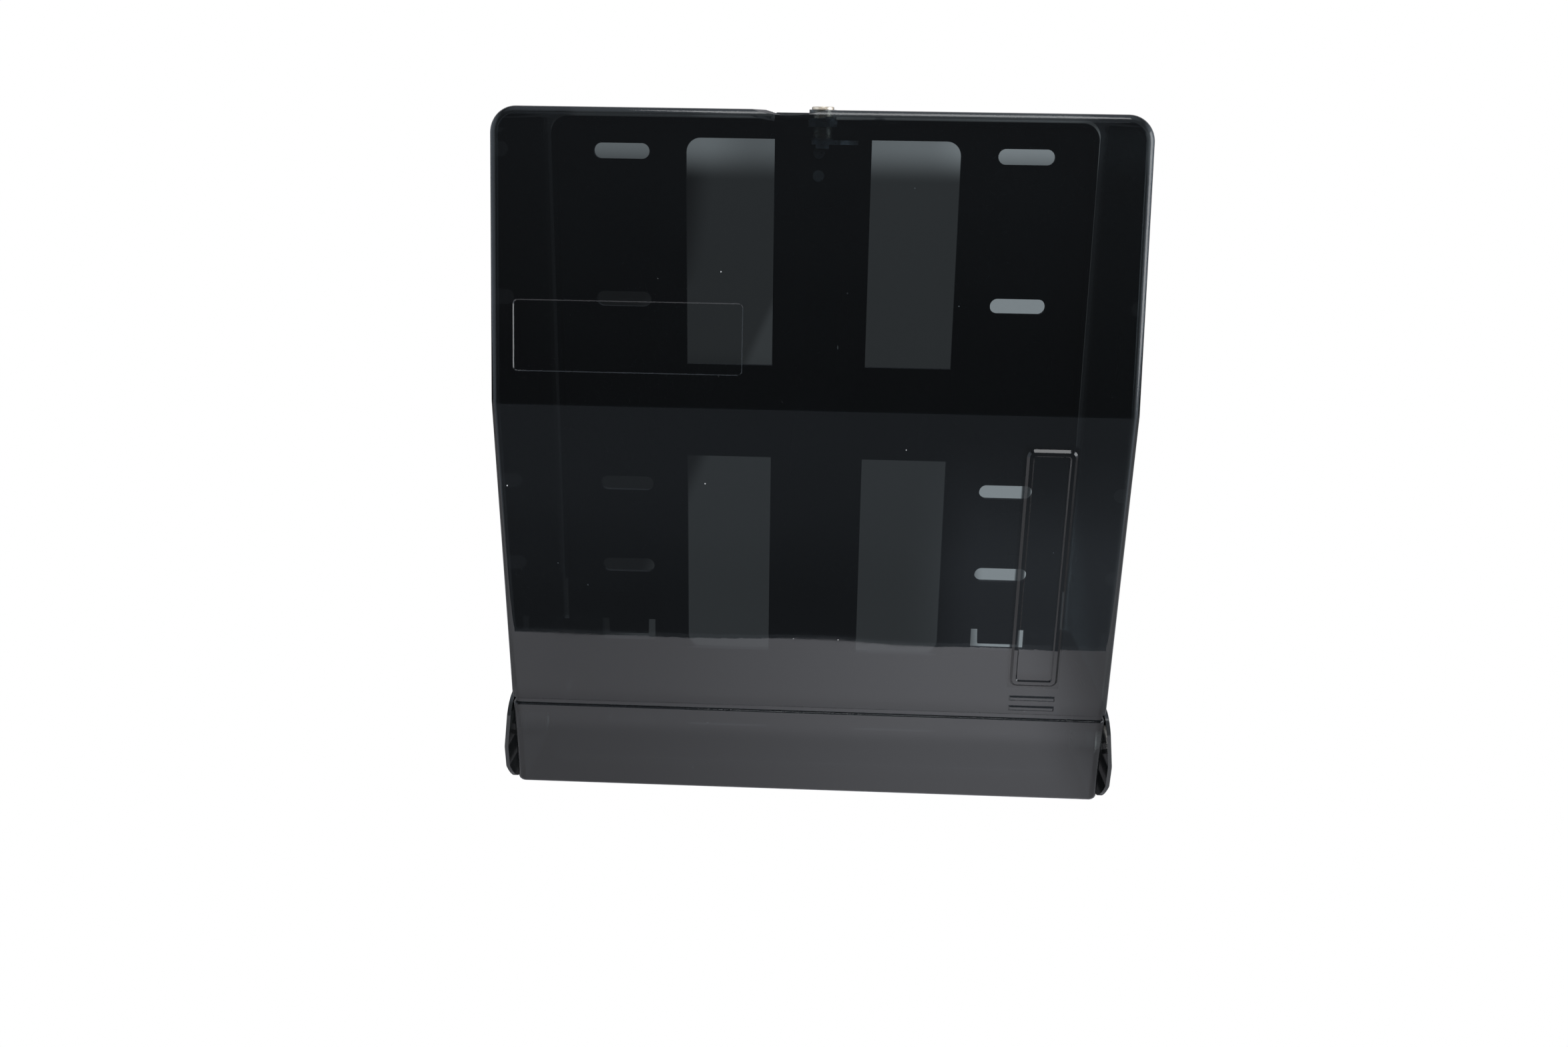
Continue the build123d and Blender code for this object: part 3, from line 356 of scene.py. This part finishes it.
def painted_light_behind(t, place):
    """Painted light and shade of the paper as seen through the cover, placed to match the photograph's
    tones: a painted shadow close behind the object, a painted streak of light on the right, and painted
    light again where the floor turns up. The floor well in front, seen through the cover from behind, is
    painted bright too."""
    x, y, z = place
    from_left = t.ramp(t.math("MULTIPLY_ADD", y, -0.09, x), 0.083, 0.098)
    from_right = t.ramp(t.math("MULTIPLY_ADD", y, -0.135, x), 0.15, 0.165, 1.0, 0.0)
    painted_light_streak = t.math("MULTIPLY", t.math("MULTIPLY", from_left, from_right), t.ramp(y, 2.0, 2.6, 1.6, 0.0))
    far_left = t.math("MULTIPLY", t.ramp(y, 0.8, 1.3, 0.0, 0.1), t.ramp(x, -0.02, 0.05, 1.0, 0.0))
    far_left = t.math("MULTIPLY", far_left, t.ramp(x, -0.38, -0.3))
    left_side = t.math("ADD", t.ramp(x, -0.13, -0.11, 0.04, 0.17), far_left)
    wall_top = t.math("MULTIPLY", t.ramp(z, 0.2, 0.29), t.ramp(t.math("ABSOLUTE", x), 0.2, 0.36, 0.6, 1.0))
    wall_top = t.math("MULTIPLY", wall_top, t.ramp(z, 0.32, 0.345, 1.0, 0.1))
    wall_sides = t.math("MULTIPLY", t.ramp(x, -0.68, -0.64, 0.05, 1.0), t.ramp(x, 0.56, 0.6, 1.0, 0.3))
    wall = t.math("MULTIPLY", t.math("MULTIPLY", wall_top, wall_sides), t.ramp(x, -0.3, 0.3, 0.9, 1.45))
    behind = t.math("ADD", t.math("ADD", left_side, wall), painted_light_streak)
    behind = t.math("MULTIPLY", behind, t.ramp(y, -0.02, 0.02))
    return t.math("ADD", behind, t.ramp(y, -0.45, -0.3, 0.7, 0.0))


def paper(name, painted_mirror_glow):
    """Matt white paper, plain white to the camera, with painted light and shade where it is seen through
    the cover. The given function sets its painted reflection: a glow that only glossy rays see.
    """
    made, t = material(name)
    paths = t.add("ShaderNodeLightPath").outputs
    place = t.add("ShaderNodeSeparateXYZ", {0: t.place()}).outputs
    direct = t.math("LESS_THAN", paths["Transparent Depth"], 0.5)
    direct = t.math("MULTIPLY", paths["Is Camera Ray"], direct)
    # Painted light and shadow: emission placed by position for camera rays that came through the cover.
    strength = t.math("MAXIMUM", painted_light_behind(t, place), direct)
    shown = t.add("ShaderNodeEmission", {"Color": (1.0, 1.0, 1.0, 1.0), "Strength": strength}).outputs[0]
    # Painted reflection: the glow that glossy rays see in place of the lit paper.
    glow = t.add(
        "ShaderNodeEmission", {"Color": (0.96, 0.97, 1.04, 1.0), "Strength": painted_mirror_glow(t, place)}
    ).outputs[0]
    matt = t.add("ShaderNodeBsdfDiffuse", {"Color": (0.45, 0.45, 0.45, 1.0)}).outputs[0]
    lit = t.add("ShaderNodeMixShader", {0: paths["Is Glossy Ray"], 1: matt, 2: glow}).outputs[0]
    t.output(t.add("ShaderNodeMixShader", {0: paths["Is Camera Ray"], 1: lit, 2: shown}).outputs[0])
    return made


bend = [
    (BEND_Y + BEND_R * math.sin(a), floor_z + BEND_R * (1 - math.cos(a)))
    for a in [math.radians(90 * i / BEND_STEPS) for i in range(BEND_STEPS + 1)]
]
rear_floor = strip("rear_floor", [(TABLE_REAR_Y, floor_z), *bend, (BEND_Y + BEND_R, REACH)], REACH)
table = strip("table", [(TABLE_FRONT_Y, floor_z), (TABLE_REAR_Y, floor_z)], REACH)
front_floor = strip("front_floor", [(-REACH, floor_z), (TABLE_FRONT_Y, floor_z)], REACH)
for sheet, painted_mirror_glow in ((rear_floor, paper_painted_reflection), (front_floor, paper_painted_reflection), (table, table_painted_reflection)):
    sheet.data.materials.append(paper(sheet.name, painted_mirror_glow))
front_floor.visible_glossy = False

# Room as the gloss mirrors it: lights at both sides and overhead, a soft glow low in front.
world = bpy.data.worlds.new("studio")
bpy.context.scene.world = world
w = Tree(world)
toward = w.add("ShaderNodeSeparateXYZ", {0: w.add("ShaderNodeTexCoord").outputs["Generated"]}).outputs
toward_x, toward_z = toward[0], toward[2]
side_glow = w.math("ADD", w.ramp(toward_x, 0.6, 0.95, 0.0, 1.3), w.ramp(toward_x, -0.6, -0.95, 0.0, 0.8))
top_glow = w.math("ADD", w.ramp(toward_z, 0.1, 0.35, 0.0, 0.06), w.ramp(toward_z, 0.75, 1.0, 0.0, 0.6))
low_fade = w.ramp(toward_z, -0.48, -0.38, 0.5, 1.0)
low_glow = w.math("MULTIPLY", w.ramp(toward_z, -0.28, -0.33, 0.0, 0.15), low_fade)
low_right = w.math("MULTIPLY", w.ramp(toward_x, 0.05, 0.11, 0.0, 0.26), w.ramp(toward_z, -0.36, -0.46))
glow = w.math("ADD", w.math("ADD", side_glow, top_glow), w.math("ADD", low_glow, low_right))
paths = w.add("ShaderNodeLightPath").outputs
room = w.math("MULTIPLY_ADD", glow, paths["Is Glossy Ray"], 0.045)
straight = w.math("LESS_THAN", paths["Transparent Depth"], 0.5)
straight = w.math("MULTIPLY", paths["Is Camera Ray"], straight)
level = w.math("MAXIMUM", room, straight)
shade = w.blend(straight, (0.86, 0.98, 1.14), (1.0, 1.0, 1.0))
w.output(
    w.add("ShaderNodeBackground", {"Color": shade, "Strength": level}).outputs[0],
    "ShaderNodeOutputWorld",
)


def lamp(name, at, target, size, power, glossy=True, diffuse=True):
    """A square soft light at a point, turned to its target."""
    light = bpy.data.lights.new(name, "AREA")
    light.size = size
    light.energy = power
    made = bpy.data.objects.new(name, light)
    made.location = at
    made.rotation_mode = "QUATERNION"
    made.rotation_quaternion = (Vector(target) - Vector(at)).to_track_quat("-Z", "Y")
    made.visible_glossy = glossy
    made.visible_diffuse = diffuse
    made.visible_camera = False
    bpy.context.scene.collection.objects.link(made)


middle = (cad_low + cad_high) / 2
lamp("key", (0.22, -1.7, 0.6), middle, 0.5, 90.0, glossy=False)
lamp("side_strip", (1.3, -0.25, 0.55), middle, 0.7, 6.0, diffuse=False)
lamp("top_soft", (0.1, -0.45, 1.7), middle, 0.7, 6.0, diffuse=False)

# ---- Camera at the photograph's viewing angle ----

CAMERA_AT = Vector((0.0113, -0.6846, 0.2905))
YAW, PITCH, ROLL = -0.0407, 0.2795, 0.0159
LENS, SENSOR = 30.438, 36.0

forward = Vector(
    (math.sin(YAW) * math.cos(PITCH), math.cos(YAW) * math.cos(PITCH), -math.sin(PITCH))
)
level_right = Vector((math.cos(YAW), -math.sin(YAW), 0.0))
level_up = level_right.cross(forward)
right = math.cos(ROLL) * level_right + math.sin(ROLL) * level_up
up = math.cos(ROLL) * level_up - math.sin(ROLL) * level_right
camera = bpy.data.objects.new("camera", bpy.data.cameras.new("camera"))
camera.data.sensor_width = SENSOR
camera.data.lens = LENS
camera.data.clip_start = 0.01
camera.matrix_world = Matrix.Translation(CAMERA_AT) @ Matrix((right, up, -forward)).transposed().to_4x4()
bpy.context.scene.collection.objects.link(camera)
bpy.context.scene.camera = camera
bpy.context.scene.view_settings.view_transform = "Standard"
